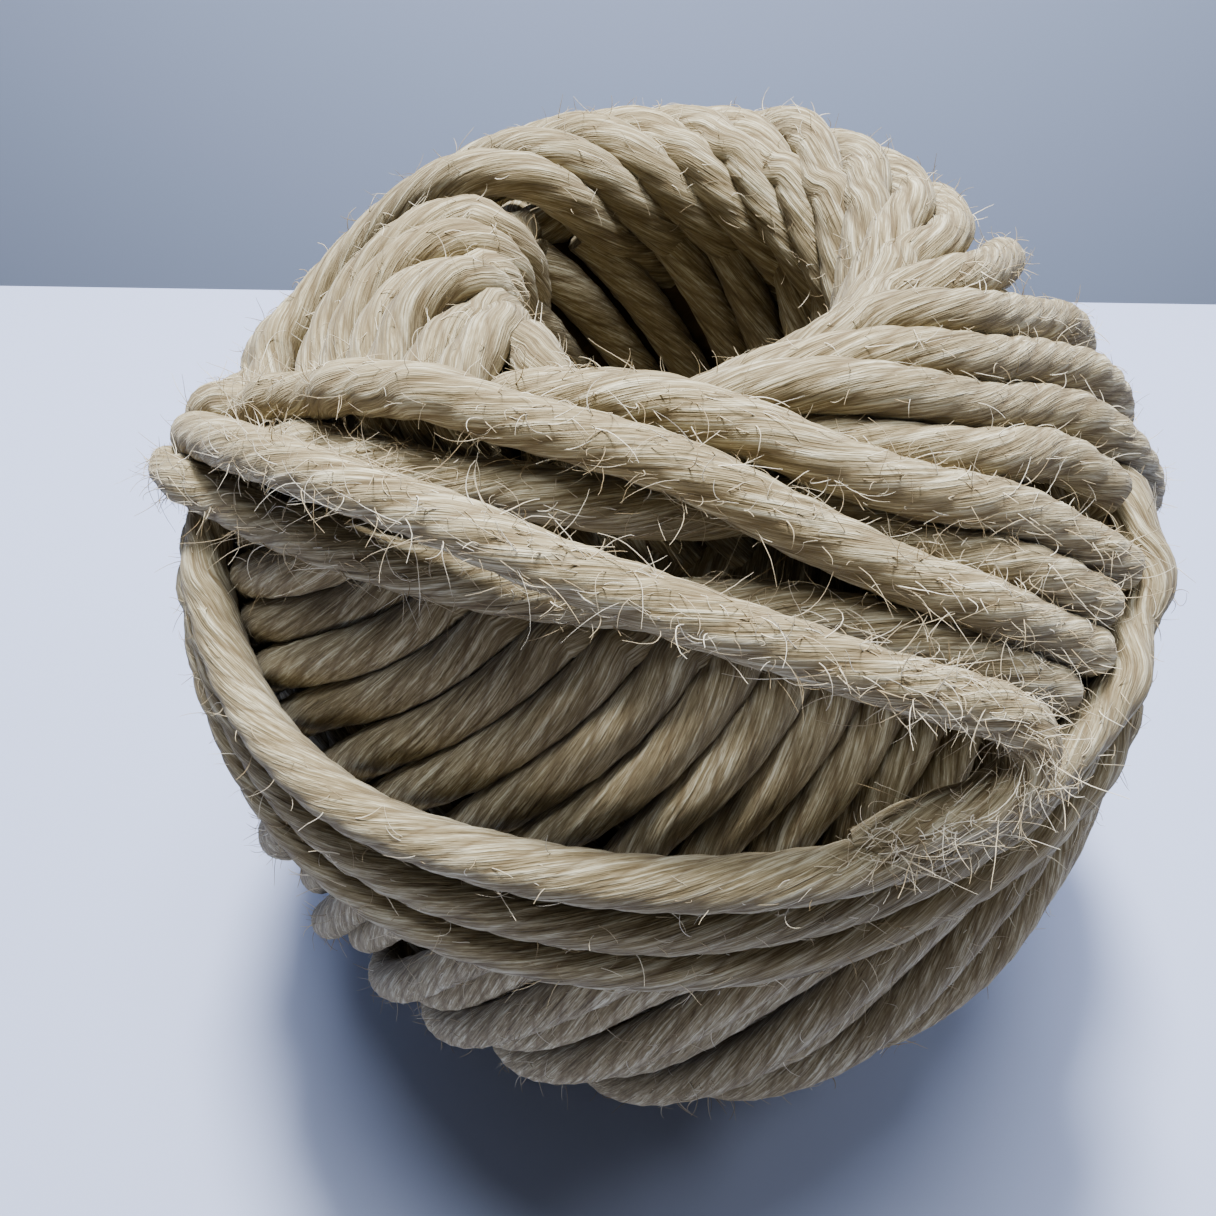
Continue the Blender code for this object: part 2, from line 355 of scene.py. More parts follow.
# Boards: name, corners and colour
BOARDS = (
    (
        "table",
        ((-0.6, -0.5, 0.0), (0.6, -0.5, 0.0), (0.6, 0.105, 0.0), (-0.6, 0.105, 0.0)),
        (0.35, 0.41, 0.62),
    ),
    (
        "backdrop",
        ((-1.5, 0.6, -0.6), (1.5, 0.6, -0.6), (1.5, 0.6, 1.2), (-1.5, 0.6, 1.2)),
        (0.54, 0.66, 0.98),
    ),
)
STUDIO_COLOUR = (0.86, 0.90, 1.0)
STUDIO_STRENGTH = 0.08


def curve_points(points, closed, steps):
    """Fine points on a smooth curve through the given rows."""
    rows = np.asarray(points, float)
    count = len(rows)
    spans = count if closed else count - 1
    picks = np.arange(spans)[:, None] + np.array([-1, 0, 1, 2])
    picks = picks % count if closed else picks.clip(0, count - 1)
    before, start, end, after = (rows[picks[:, k]][:, None, :] for k in range(4))
    share = (np.arange(steps) / steps)[None, :, None]
    fine = 0.5 * (
        2 * start
        + (end - before) * share
        + (2 * before - 5 * start + 4 * end - after) * share**2
        + (3 * start - before - 3 * end + after) * share**3
    )
    fine = fine.reshape(-1, rows.shape[1])
    return fine if closed else np.vstack([fine, rows[-1:]])


def lengths_along(points):
    steps = np.linalg.norm(np.diff(points, axis=0), axis=1)
    return np.concatenate([[0.0], np.cumsum(steps)])


def evenly_spaced(points, spacing):
    """Points about this far apart along a line, both ends included."""
    along = lengths_along(points)
    count = max(int(round(along[-1] / spacing)), 2)
    wanted = np.linspace(0.0, along[-1], count + 1)
    return np.stack([np.interp(wanted, along, axis) for axis in points.T], 1)


def degrees_from(azimuth, middle):
    """How far an azimuth lies from another one, from -180 to 180."""
    return (azimuth - middle + 180.0) % 360.0 - 180.0


class WoundForm:
    """The wound form's outline, and how high a point lies above it."""

    CELL = 0.0004  # of the chart, in metres

    def __init__(self):
        rows = np.array([(r, z) for _, r, z in WOUND_FORM]) * RADIUS
        line = curve_points(rows, True, OUTLINE_STEPS)
        tangent = np.roll(line, -1, 0) - np.roll(line, 1, 0)
        tangent /= np.linalg.norm(tangent, axis=1)[:, None]
        self.line = line
        self.normal = np.stack([-tangent[:, 1], tangent[:, 0]], 1)
        steps = np.linalg.norm(np.roll(line, -1, 0) - line, axis=1)
        along = np.concatenate([[0.0], np.cumsum(steps)])
        self.whole = along[-1] / STRING
        self.station = (along[:-1] - along[CREST_ROW * OUTLINE_STEPS]) / STRING
        self.make_chart()

    def make_chart(self):
        """Lift and upward direction over a grid of distances from the axis and heights."""
        reach = 1.3 * RADIUS
        r = np.arange(0.0, reach, self.CELL)
        z = np.arange(-reach, reach, self.CELL)
        grid = np.stack(np.meshgrid(r, z, indexing="ij"), -1).reshape(-1, 2)
        coarse = np.arange(0, len(self.line), 4)
        best = np.empty(len(grid), int)
        for start in range(0, len(grid), 4000):
            part = grid[start : start + 4000]
            gaps = ((part[:, None] - self.line[coarse][None]) ** 2).sum(-1)
            best[start : start + 4000] = coarse[gaps.argmin(1)]
        offset = grid - self.line[best]
        self.chart = (offset * self.normal[best]).sum(1).reshape(len(r), len(z))
        self.chart_normal = self.normal[best].reshape(len(r), len(z), 2)
        self.chart_low = -reach

    def lift_of(self, points):
        """Lift in metres and the outward direction at each point."""
        q = points - CENTRE
        r = np.hypot(q[:, 0], q[:, 1])
        i = (r / self.CELL).clip(0, self.chart.shape[0] - 1.001)
        j = ((q[:, 2] - self.chart_low) / self.CELL).clip(0, self.chart.shape[1] - 1.001)
        i0, j0 = i.astype(int), j.astype(int)
        u, v = i - i0, j - j0
        lift = (
            self.chart[i0, j0] * (1 - u) * (1 - v)
            + self.chart[i0 + 1, j0] * u * (1 - v)
            + self.chart[i0, j0 + 1] * (1 - u) * v
            + self.chart[i0 + 1, j0 + 1] * u * v
        )
        flat = self.chart_normal[i0, j0]
        radial = q[:, :2] / np.maximum(r, 1e-9)[:, None]
        return lift, np.column_stack([radial * flat[:, :1], flat[:, 1]])

    def place(self, rows):
        """Points in space for rows of azimuth, station and lift."""
        rows = np.asarray(rows, float)
        azimuth, middle, wide, tall, height = BULGE
        aside = degrees_from(rows[:, 0], azimuth) / wide
        swell = height * np.exp(-(aside**2) - ((rows[:, 1] - middle) / tall) ** 2)
        lift = (rows[:, 2] + swell) * STRING
        station = (rows[:, 1] - self.station[0]) % self.whole + self.station[0]
        stations = np.append(self.station, self.station[0] + self.whole)
        parts = [
            np.interp(station, stations, np.append(values, values[0]))
            for values in (*self.line.T, *self.normal.T)
        ]
        r, z, normal_r, normal_z = parts
        r = r + normal_r * lift
        z = z + normal_z * lift
        turn = np.radians(rows[:, 0])
        return CENTRE + np.stack([r * np.sin(turn), -r * np.cos(turn), z], 1)


def laid(form, rows):
    """A strand's evenly spaced points, from its few rows."""
    return evenly_spaced(form.place(curve_points(rows, False, ROW_STEPS)), SPACING * STRING)


def waist_turns(form):
    """One strand that goes round the waist three times."""
    rows = []
    for turn in range(3):
        lift = 4 if turn == 0 else 5
        rows += [(row[0] + 360.0 * turn, row[1 + turn], row[lift]) for row in WAIST_TURNS]
    return [laid(form, rows)]


def resampled(rows, count=24):
    """The same strand as a fixed number of rows, evenly spread from its first to its last."""
    fine = curve_points(rows, False, ROW_STEPS)
    place = np.linspace(0, len(fine) - 1, count)
    return np.stack([np.interp(place, np.arange(len(fine)), column) for column in fine.T], 1)


def swirl_turns(form):
    """The strands that wind out of the hole: those on the guides, and those between them."""
    turns = []
    guides = [(count, np.array(rows, float)) for _, count, rows in SWIRL_GUIDES]
    for (count, rows), (_, after) in zip(guides, guides[1:] + guides[:1]):
        if count == 0:
            turns.append(laid(form, rows))
            continue
        start = resampled(rows)
        end = resampled(after)
        end[:, 0] += 360.0 * round((start[:, 0].mean() - end[:, 0].mean() - 60.0) / 360.0)
        turns += [laid(form, start + (end - start) * step / count) for step in range(count)]
    return turns


def run_to_the_end(form, start):
    """The strand that goes on from where the tucked end leaves the ball."""
    points = form.place(curve_points(RUN_TO_THE_END, False, ROW_STEPS))
    shift = start - points[0]
    fade = np.linspace(1.0, 0.0, len(points))[:, None] ** 3
    return evenly_spaced(points + shift * fade, SPACING * STRING)


def drag_share(azimuth):
    return float(np.interp(degrees_from(azimuth, 0.0), DRAGGED, GROW_AND_FADE))


def body_turns(form, rng):
    """The leaning strands of the layer under the last one, from the shoulder down to the foot."""
    stations, plain, dragged = np.array(BODY_LEAN).T
    swell_azimuth, swell_reach, swell_height = BODY_SWELL
    turns = []
    for number in range(BODY_STRANDS):
        start = 360.0 * number / BODY_STRANDS + rng.uniform(-1.2, 1.2)
        lean = plain + (dragged - plain) * drag_share(start + WAIST_LEAN)
        azimuth = start + lean
        lift = np.full(len(stations), BODY_LIFT)
        lift += rng.uniform(-0.04, 0.10)
        lift += swell_height * np.exp(-((degrees_from(azimuth, swell_azimuth) / swell_reach) ** 2))
        lift[:2] = (-1.6, -0.8)
        keep = len(stations)
        short = number % 2 == 1
        if short:
            keep = (stations <= SHORT_STATION).sum()
            lift[keep - 2 : keep] = (-0.8, -1.5)
        else:
            lift += PROUD * np.interp(stations, PROUD_STATIONS, GROW_AND_FADE)
        turns.append(laid(form, np.stack([azimuth, stations, lift], 1)[:keep]))
    return turns


def even_layer(form, rng, strands, uneven, span, origin, lean, lift, count):
    """The strands of a layer that lean by the same amount all along."""
    turns = []
    for number in range(strands):
        start = 360.0 * number / strands + rng.uniform(-uneven, uneven)
        station = np.linspace(*span, count)
        rows = np.stack([start + lean * (station - origin), station, np.full(count, lift)], 1)
        turns.append(laid(form, rows))
    return turns


class Winding:
    """All strands as one set of points that settle against each other."""

    def __init__(self, form, groups, held):
        self.form = form
        self.names = [name for name, lines in groups for _ in lines]
        lines = [line for _, lines in groups for line in lines]
        self.counts = [len(line) for line in lines]
        self.points = np.vstack(lines)
        self.aim = self.points.copy()
        self.strand = np.repeat(np.arange(len(lines)), self.counts)
        self.place = np.concatenate([np.arange(count) for count in self.counts])
        last = np.repeat(self.counts, self.counts) - 1
        self.inner = (self.place > 0) & (self.place < last)
        group = np.array(self.names)[self.strand]
        self.moves = (group != held).astype(float)
        to_end = last - self.place
        lift, _ = form.lift_of(self.points)
        from_axis = np.hypot(self.points[:, 0], self.points[:, 1])
        self.hidden = (np.minimum(self.place, to_end) < HIDDEN_ENDS) | (lift < HIDDEN_LIFT * STRING)
        self.hidden |= (group == "swirl") & (from_axis < HIDDEN_MOUTH * RADIUS)
        self.hidden |= (group == "waist") & (lift < HIDDEN_WAIST_LIFT * STRING)
        first, final = HIDDEN_TUCKED
        self.hidden |= (group == "tucked") & ((to_end < final) | (self.place < first))
        self.pull = np.where(group == "waist", WAIST_PULL, LAID_PULL)
        self.pull = np.where(self.hidden, HIDDEN_PULL, self.pull)
        self.pull = np.where((group == "run") & (self.place < JOIN_POINTS), JOIN_PULL, self.pull)

    def near_pairs(self):
        tree = KDTree(len(self.points))
        for number, point in enumerate(self.points):
            tree.insert(point, number)
        tree.balance()
        reach = PAIR_REACH * STRING
        skip = int(SAME_STRAND / SPACING)
        pairs = []
        for number in np.flatnonzero(~self.hidden):
            for _, other, _ in tree.find_range(self.points[number], reach):
                if other <= number or self.hidden[other]:
                    continue
                same = self.strand[other] == self.strand[number]
                if same and abs(self.place[other] - self.place[number]) < skip:
                    continue
                pairs.append((number, other))
        return np.array(pairs)

    def settle(self):
        moves = self.moves
        for step in range(ROUNDS):
            if step % PAIR_ROUNDS == 0:
                first, second = self.near_pairs().T
                share = moves[first] / np.maximum(moves[first] + moves[second], 1)
            p = self.points
            bend = np.zeros_like(p)
            middle = np.flatnonzero(self.inner)
            bend[middle] = 0.5 * (p[middle - 1] + p[middle + 1]) - p[middle]
            lift, outward = self.form.lift_of(p)
            force = STRAIGHTENING * bend + self.pull[:, None] * (self.aim - p)
            force -= outward * (TIGHTENING * STRING)
            p = p + force * moves[:, None]
            for _ in range(PUSHES):
                p = self.pushed_apart(p, first, second, share)
            lift, outward = self.form.lift_of(p)
            sunk = np.where(self.hidden, 0.0, np.maximum(LOWEST_LIFT * STRING - lift, 0.0)) * moves
            self.points = p + outward * sunk[:, None]

    def pushed_apart(self, p, first, second, share):
        """The points after each pair that is too near has moved apart. The first of a pair moves by its
        share, and the second by the rest where it moves at all."""
        total = len(p)
        gap = p[first] - p[second]
        far = np.linalg.norm(gap, axis=1)
        push = np.maximum(PRESSED * STRING - far, 0.0) / np.maximum(far, 1e-9)
        shift = gap * push[:, None]
        hits = (push > 0).astype(float)
        ahead = shift * share[:, None]
        behind = -shift * (1 - share)[:, None] * (self.moves[second] > 0)[:, None]
        number = np.bincount(first, hits, total) + np.bincount(second, hits, total)
        moved = [
            np.bincount(first, ahead[:, k], total) + np.bincount(second, behind[:, k], total)
            for k in range(3)
        ]
        return p + np.stack(moved, 1) / np.maximum(number, 1.0)[:, None] * PUSH_FACTOR

    def lines(self, group):
        lines = np.split(self.points, np.cumsum(self.counts)[:-1])
        return [line for line, name in zip(lines, self.names) if name == group]


def strand_arrays(lines, rng, worn_end=False):
    """Points, edges and the attributes that the spinning reads, for many strands."""
    counts = [len(line) for line in lines]
    points = np.vstack(lines)
    number = np.arange(len(points))
    last = np.cumsum(counts) - 1
    edges = np.stack([number[:-1], number[1:]], 1)
    edges = np.delete(edges, last[:-1], axis=0)
    swell = []
    for count in counts:
        knots = rng.uniform(*UNEVEN, count // UNEVEN_EVERY + 3)
        place = np.linspace(0, len(knots) - 1, count)
        swell.append(1.0 + np.interp(place, np.arange(len(knots)), knots))
    if worn_end:
        swell[-1][-len(WORN_END) :] *= WORN_END
    attributes = {
        "thick": np.concatenate(swell),
        "turn": np.repeat(rng.uniform(0.0, 2.0 * math.pi, len(lines)), counts),
        "tone": np.repeat(rng.uniform(-1.0, 1.0, len(lines)), counts),
    }
    return points, edges, attributes


def line_mesh(name, points, edges, attributes):
    mesh = bpy.data.meshes.new(name)
    mesh.vertices.add(len(points))
    mesh.vertices.foreach_set("co", points.astype(np.float32).ravel())
    mesh.edges.add(len(edges))
    mesh.edges.foreach_set("vertices", edges.astype(np.int32).ravel())
    for key, values in attributes.items():
        layer = mesh.attributes.new(key, "FLOAT", "POINT")
        layer.data.foreach_set("value", values.astype(np.float32))
    mesh.update()
    return mesh


class Nodes:
    """Nodes that are added to a tree one at a time."""

    def add(self, kind, settings=(), **links):
        """A node with its settings, and its inputs linked or set, by name or as i0, i1 and so on."""
        node = self.tree.nodes.new(kind)
        for key, value in dict(settings).items():
            setattr(node, key, value)
        for key, value in links.items():
            socket = node.inputs[int(key[1:]) if key[1:].isdigit() else key.replace("_", " ")]
            if isinstance(value, bpy.types.NodeSocket):
                self.tree.links.new(value, socket)
            else:
                socket.default_value = value
        return node

    def math(self, operation, first, second=0.0, third=0.0):
        return self.add("ShaderNodeMath", {"operation": operation}, i0=first, i1=second, i2=third).outputs[0]


class Tree(Nodes):
    """A Geometry Nodes tree."""

    def __init__(self, name, sockets):
        self.tree = bpy.data.node_groups.new(name, "GeometryNodeTree")
        self.keys = {}
        for title, kind, value in sockets:
            socket = self.tree.interface.new_socket(title, in_out="INPUT", socket_type=kind)
            if value is not None:
                socket.default_value = value
            self.keys[title] = socket.identifier
        self.tree.interface.new_socket("Result", in_out="OUTPUT", socket_type="NodeSocketGeometry")
        self.inputs = self.add("NodeGroupInput").outputs

    def named(self, name, kind="FLOAT"):
        return self.add("GeometryNodeInputNamedAttribute", {"data_type": kind}, Name=name).outputs[0]

    def store(self, geometry, name, value, kind="FLOAT"):
        node = self.add(
            "GeometryNodeStoreNamedAttribute",
            {"data_type": kind, "domain": "POINT"},
            Geometry=geometry,
            Name=name,
            Value=value,
        )
        return node.outputs[0]

    def swept(self, curve, profile):
        """Tubes of this profile along the curves, scaled by their named thickness."""
        scale = self.named("thick")
        return self.add(
            "GeometryNodeCurveToMesh", Curve=curve, Profile_Curve=profile, Scale=scale, Fill_Caps=True
        ).outputs[0]

    def ring(self, sides):
        """A circle of radius 1, for a profile."""
        node = self.add("GeometryNodeCurvePrimitiveCircle", {"mode": "RADIUS"}, Resolution=sides, Radius=1.0)
        return node.outputs[0]

    def finish(self, geometry, material):
        """Ends the tree: smooth shading, real geometry and its material."""
        geometry = self.add("GeometryNodeSetShadeSmooth", Geometry=geometry).outputs[0]
        solid = self.add("GeometryNodeRealizeInstances", Geometry=geometry).outputs[0]
        coated = self.add("GeometryNodeSetMaterial", Geometry=solid, Material=material).outputs[0]
        self.tree.links.new(coated, self.add("NodeGroupOutput").inputs[0])


def spinning_tree():
    """Sweeps strands as twisted string: a lobed profile, one lobe a ply, turned along its length."""
    tree = Tree(
        "Spin string",
        (
            ("Strands", "NodeSocketGeometry", None),
            ("Diameter", "NodeSocketFloat", STRING),
            ("Ply lay", "NodeSocketFloat", PLY_LAY),
            ("Groove depth", "NodeSocketFloat", PLY_GROOVE),
            ("Step", "NodeSocketFloat", 0.19),
            ("Sides", "NodeSocketInt", 16),
            ("Material", "NodeSocketMaterial", None),
        ),
    )
    given = tree.inputs
    curve = tree.add("GeometryNodeMeshToCurve", Mesh=given["Strands"]).outputs[0]
    spline = {"spline_type": "CATMULL_ROM"}
    smooth = tree.add("GeometryNodeCurveSplineType", spline, Curve=curve).outputs[0]
    step = tree.math("MULTIPLY", given["Step"], given["Diameter"])
    even = tree.add("GeometryNodeResampleCurve", {"mode": "LENGTH"}, Curve=smooth, Length=step).outputs[0]
    length = tree.add("GeometryNodeSplineParameter").outputs["Length"]
    along = tree.math("DIVIDE", length, given["Diameter"])
    turns = tree.math("DIVIDE", along, given["Ply lay"])
    tilt = tree.math("MULTIPLY_ADD", turns, -2.0 * math.pi, tree.named("turn"))
    tilted = tree.add("GeometryNodeSetCurveTilt", Curve=even, Tilt=tilt).outputs[0]
    measured = tree.store(tilted, "along", along)

    number = tree.add("GeometryNodeInputIndex").outputs[0]
    angle = tree.math("MULTIPLY", tree.math("DIVIDE", number, given["Sides"]), 2.0 * math.pi)
    lobe = tree.math("ABSOLUTE", tree.math("COSINE", tree.math("MULTIPLY", angle, PLIES / 2.0)))
    groove = tree.math("MULTIPLY", tree.math("SUBTRACT", 1.0, lobe), given["Groove depth"])
    reach = tree.math("MULTIPLY", tree.math("SUBTRACT", 1.0, groove), given["Diameter"])
    reach = tree.math("MULTIPLY", reach, 0.5)
    cosine = tree.math("COSINE", angle)
    sine = tree.math("SINE", angle)
    across = tree.math("MULTIPLY", cosine, reach)
    up = tree.math("MULTIPLY", sine, reach)
    place = tree.add("ShaderNodeCombineXYZ", X=across, Y=up).outputs[0]
    ring = tree.ring(given["Sides"])
    shaped = tree.add("GeometryNodeSetPosition", Geometry=ring, Position=place).outputs[0]
    round_ply = tree.add("ShaderNodeCombineXYZ", X=cosine, Y=sine).outputs[0]
    profile = tree.store(shaped, "round", round_ply, "FLOAT_VECTOR")

    tube = tree.swept(measured, profile)
    split = tree.add("ShaderNodeSeparateXYZ", Vector=tree.named("round", "FLOAT_VECTOR")).outputs
    lay = tree.add("ShaderNodeCombineXYZ", X=split[0], Y=split[1], Z=tree.named("along")).outputs[0]
    marked = tree.store(tube, "lay", lay, "FLOAT_VECTOR")
    tree.finish(marked, given["Material"])
    return tree


def fibre_tree():
    """Sweeps loose fibres as thin threads that taper as their points say."""
    tree = Tree(
        "Sweep fibres",
        (
            ("Fibres", "NodeSocketGeometry", None),
            ("Sides", "NodeSocketInt", 3),
            ("Material", "NodeSocketMaterial", None),
        ),
    )
    given = tree.inputs
    curve = tree.add("GeometryNodeMeshToCurve", Mesh=given["Fibres"]).outputs[0]
    tree.finish(tree.swept(curve, tree.ring(given["Sides"])), given["Material"])
    return tree


def made_piece(name, slot, mesh, tree, material, **inputs):
    """A plain mesh piece: the tree's result for these lines."""
    lines = bpy.data.objects.new(name + "_lines", mesh)
    bpy.context.scene.collection.objects.link(lines)
    maker = lines.modifiers.new("Maker", "NODES")
    maker.node_group = tree.tree
    maker[tree.keys["Material"]] = material
    for title, value in inputs.items():
        maker[tree.keys[title.replace("_", " ")]] = value
    ready = lines.evaluated_get(bpy.context.evaluated_depsgraph_get())
    result = bpy.data.meshes.new_from_object(ready)
    bpy.data.objects.remove(lines)
    bpy.data.meshes.remove(mesh)
    place = np.empty(len(result.vertices) * 3, np.float32)
    result.vertices.foreach_get("co", place)
    place[2::3] = np.maximum(place[2::3], TABLE_GAP)
    result.vertices.foreach_set("co", place)
    for key in ("round", "along", "turn", "thick"):
        if key in result.attributes:
            result.attributes.remove(result.attributes[key])
    result.name = name
    piece = bpy.data.objects.new(name, result)
    bpy.context.scene.collection.objects.link(piece)
    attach(piece, "root")
    return piece


def spun_piece(name, slot, lines, tree, material, rng, worn_end=False, **inputs):
    points, edges, attributes = strand_arrays(lines, rng, worn_end)
    mesh = line_mesh(name, points, edges, attributes)
    return made_piece(name, slot, mesh, tree, material, **inputs)


def loose_fibres(form, lines, count, rng, longest, lift_from):
    """Lines of points for fibres that stand off the strands, and their attributes."""
    points = np.vstack(lines)
    along = np.vstack([np.gradient(line, axis=0) for line in lines])
    along /= np.linalg.norm(along, axis=1)[:, None]
    lift, outward = form.lift_of(points)
    open_places = np.flatnonzero(lift > lift_from * STRING)
    pick = rng.choice(open_places, count * 3)
    side = rng.normal(size=(len(pick), 3))
    side -= (side * along[pick]).sum(1)[:, None] * along[pick]
    side /= np.linalg.norm(side, axis=1)[:, None]
    seen = (side * outward[pick]).sum(1) > rng.uniform(-0.1, 0.5, len(pick))
    pick, side = pick[seen][:count], side[seen][:count]
    total = len(pick)

    # Each leaves its strand one way or the other along it, and curls back a little
    spread = longest - FIBRE_SHORTEST
    length = STRING * (FIBRE_SHORTEST + spread * rng.uniform(0, 1, total) ** 2.2)
    rise = np.radians(rng.uniform(*FIBRE_RISE, total))
    way = np.where(rng.uniform(size=total) < 0.5, -1.0, 1.0)
    heading = along[pick] * (way * np.cos(rise))[:, None] + side * np.sin(rise)[:, None]
    around = np.cross(along[pick], side)
    heading += around * rng.normal(0, 0.25, total)[:, None]
    curl = rng.normal(0, 0.16, (total, 3)) - side * rng.uniform(-0.05, 0.16, total)[:, None]
    place = points[pick] + side * (0.45 * STRING)
    path = [place]
    for _ in range(FIBRE_STEPS):
        heading = heading + curl + rng.normal(0, 0.07, (total, 3))
        heading /= np.linalg.norm(heading, axis=1)[:, None]
        place = place + heading * (length / FIBRE_STEPS)[:, None]
        path.append(place)
    path = np.stack(path, 1)
    path[:, :, 2] = np.maximum(path[:, :, 2], FIBRE_LOWEST)

    rows = FIBRE_STEPS + 1
    thick = rng.uniform(*FIBRE_RADIUS, total)[:, None] * np.linspace(1.0, FIBRE_TIP, rows)[None]
    number = np.arange(total * rows).reshape(total, rows)
    edges = np.stack([number[:, :-1], number[:, 1:]], -1).reshape(-1, 2)
    tone = np.repeat(rng.uniform(-1, 1, total), rows)
    return path.reshape(-1, 3), edges, {"thick": thick.ravel(), "tone": tone}


class Finish(Nodes):
    """A Principled material."""

    def __init__(self, name, **fixed):
        self.material = bpy.data.materials.new(name)
        self.material.use_nodes = True
        self.tree = self.material.node_tree
        self.surface = self.tree.nodes["Principled BSDF"]
        for key, value in fixed.items():
            self.surface.inputs[key.replace("_", " ")].default_value = value

    def coat(self, colour, height=None, **bump):
        """Links the colour, and a bump of this height where there is one."""
        self.tree.links.new(colour, self.surface.inputs["Base Color"])
        if height is not None:
            node = self.add("ShaderNodeBump", Height=height, **bump)
            self.tree.links.new(node.outputs[0], self.surface.inputs["Normal"])
        return self.material

    def ramp(self, value, *stops):
        node = self.add("ShaderNodeValToRGB", Fac=value)
        band = node.color_ramp
        band.elements[0].position, band.elements[0].color = stops[0]
        band.elements[1].position, band.elements[1].color = stops[-1]
        for place, colour in stops[1:-1]:
            band.elements.new(place).color = colour
        return node.outputs[0]

    def mix(self, share, first, second):
        node = self.add("ShaderNodeMix", {"data_type": "RGBA"}, i0=share, i6=first, i7=second)
        return node.outputs[2]

    def noise(self, place, scale, detail=2.0, roughness=0.5):
        node = self.add("ShaderNodeTexNoise", Vector=place, Scale=scale, Detail=detail, Roughness=roughness)
        return node.outputs[0]

    def stretched(self, place, scale):
        kind = {"vector_type": "POINT"}
        return self.add("ShaderNodeMapping", kind, Vector=place, Scale=scale).outputs[0]


def rgb(red, green, blue):
    return (red, green, blue, 1.0)


def shaded(colour, shade):
    return rgb(*(part * shade for part in colour))


def string_finish(name, shade=1.0):
    """Soft plant fibre in string: streaks that follow the fibres round it, with painted shade down in the
    grooves between its plies.
    """
    finish = Finish(name, Roughness=0.9, Specular_IOR_Level=0.25, Sheen_Weight=0.12, Sheen_Roughness=0.5)
    lay = finish.add("ShaderNodeAttribute", {"attribute_name": "lay"}).outputs["Vector"]
    tone = finish.add("ShaderNodeAttribute", {"attribute_name": "tone"}).outputs["Fac"]
    where = finish.add("ShaderNodeTexCoord").outputs["Object"]
    split = finish.add("ShaderNodeSeparateXYZ", Vector=lay).outputs

    # The fibres go round the string more slowly than its plies do
    rate = 2.0 * math.pi * (1.0 / PLY_LAY - 1.0 / FIBRE_LAY)
    turn = finish.math("MULTIPLY", split[2], -rate)
    about_its_line = {"rotation_type": "Z_AXIS"}
    turned = finish.add("ShaderNodeVectorRotate", about_its_line, Vector=lay, Angle=turn).outputs[0]
    apart = finish.add("ShaderNodeCombineXYZ", Z=finish.math("MULTIPLY", tone, 50.0)).outputs[0]
    shifted = finish.add("ShaderNodeVectorMath", {"operation": "ADD"}, i0=turned, i1=apart).outputs[0]
    coarse = finish.noise(finish.stretched(shifted, COARSE_STREAKS), 1.0, 2.0, 0.6)
    fine = finish.noise(finish.stretched(shifted, FINE_STREAKS), 1.0, 2.0, 0.65)
    streak = finish.math("ADD", finish.math("MULTIPLY", coarse, 0.5), finish.math("MULTIPLY", fine, 0.5))
    colour = finish.ramp(streak, *((place, shaded(part, shade)) for place, part in STREAKS))

    round_about = finish.math("ARCTAN2", split[1], split[0])
    lobe = finish.math("COSINE", finish.math("MULTIPLY", round_about, PLIES / 2.0))
    hollow = finish.math("SUBTRACT", 1.0, finish.math("ABSOLUTE", lobe))
    # Painted shade: the groove share darkens the colour towards the groove shade colour
    groove = finish.math("MULTIPLY", finish.math("POWER", hollow, 2.5), 0.65)
    groove_shaded = finish.mix(groove, colour, shaded(PAINTED_GROOVE_SHADE, shade))
    wide = finish.math("SUBTRACT", finish.noise(where, 55.0, 2.0, 0.5), 0.35)
    warm = finish.mix(finish.math("MULTIPLY", wide, 0.9), groove_shaded, rgb(*WARM_COLOUR))
    light = finish.math("MULTIPLY_ADD", tone, 0.09, 1.0)
    toned = finish.add("ShaderNodeHueSaturation", Color=warm, Value=light).outputs[0]
    height = finish.math("MULTIPLY_ADD", fine, 0.6, finish.math("MULTIPLY", coarse, 0.8))
    return finish.coat(toned, height, Strength=0.9, Distance=STREAK_HEIGHT)


def fibre_finish():
    """Loose fibres, each a little darker or paler than the next."""
    finish = Finish("loose_fibre", Roughness=0.8, Specular_IOR_Level=0.3)
    tone = finish.add("ShaderNodeAttribute", {"attribute_name": "tone"}).outputs["Fac"]
    where = finish.add("ShaderNodeTexCoord").outputs["Object"]
    share = finish.math("MULTIPLY_ADD", tone, 0.35, finish.noise(where, 300.0))
    colour = finish.ramp(
        share,
        (0.15, rgb(0.30, 0.23, 0.13)),
        (0.5, rgb(0.52, 0.44, 0.30)),
        (0.85, rgb(0.76, 0.71, 0.58)),
    )
    return finish.coat(colour)


def inner_shade_finish():
    """What shows between the turns: the string of the layers under them, its colour darkened to near black
    as painted shade.
    """
    finish = Finish("inner_turns_painted_shade", Roughness=0.95, Specular_IOR_Level=0.1)
    where = finish.add("ShaderNodeTexCoord").outputs["Object"]
    diagonal = {"wave_type": "BANDS", "bands_direction": "DIAGONAL"}
    bands = finish.add("ShaderNodeTexWave", diagonal, Vector=where, Scale=90.0, Distortion=2.0)
    fuzz = finish.noise(where, 900.0, 3.0, 0.6)
    share = finish.math("MULTIPLY_ADD", bands.outputs["Fac"], 0.5, finish.math("MULTIPLY", fuzz, 0.5))
    # Painted shade: string colours darkened to near black, as the layers underneath look in shade
    colour = finish.ramp(share, (0.2, rgb(0.025, 0.015, 0.007)), (0.8, rgb(0.11, 0.075, 0.04)))
    return finish.coat(colour, share, Strength=0.8, Distance=0.0006)


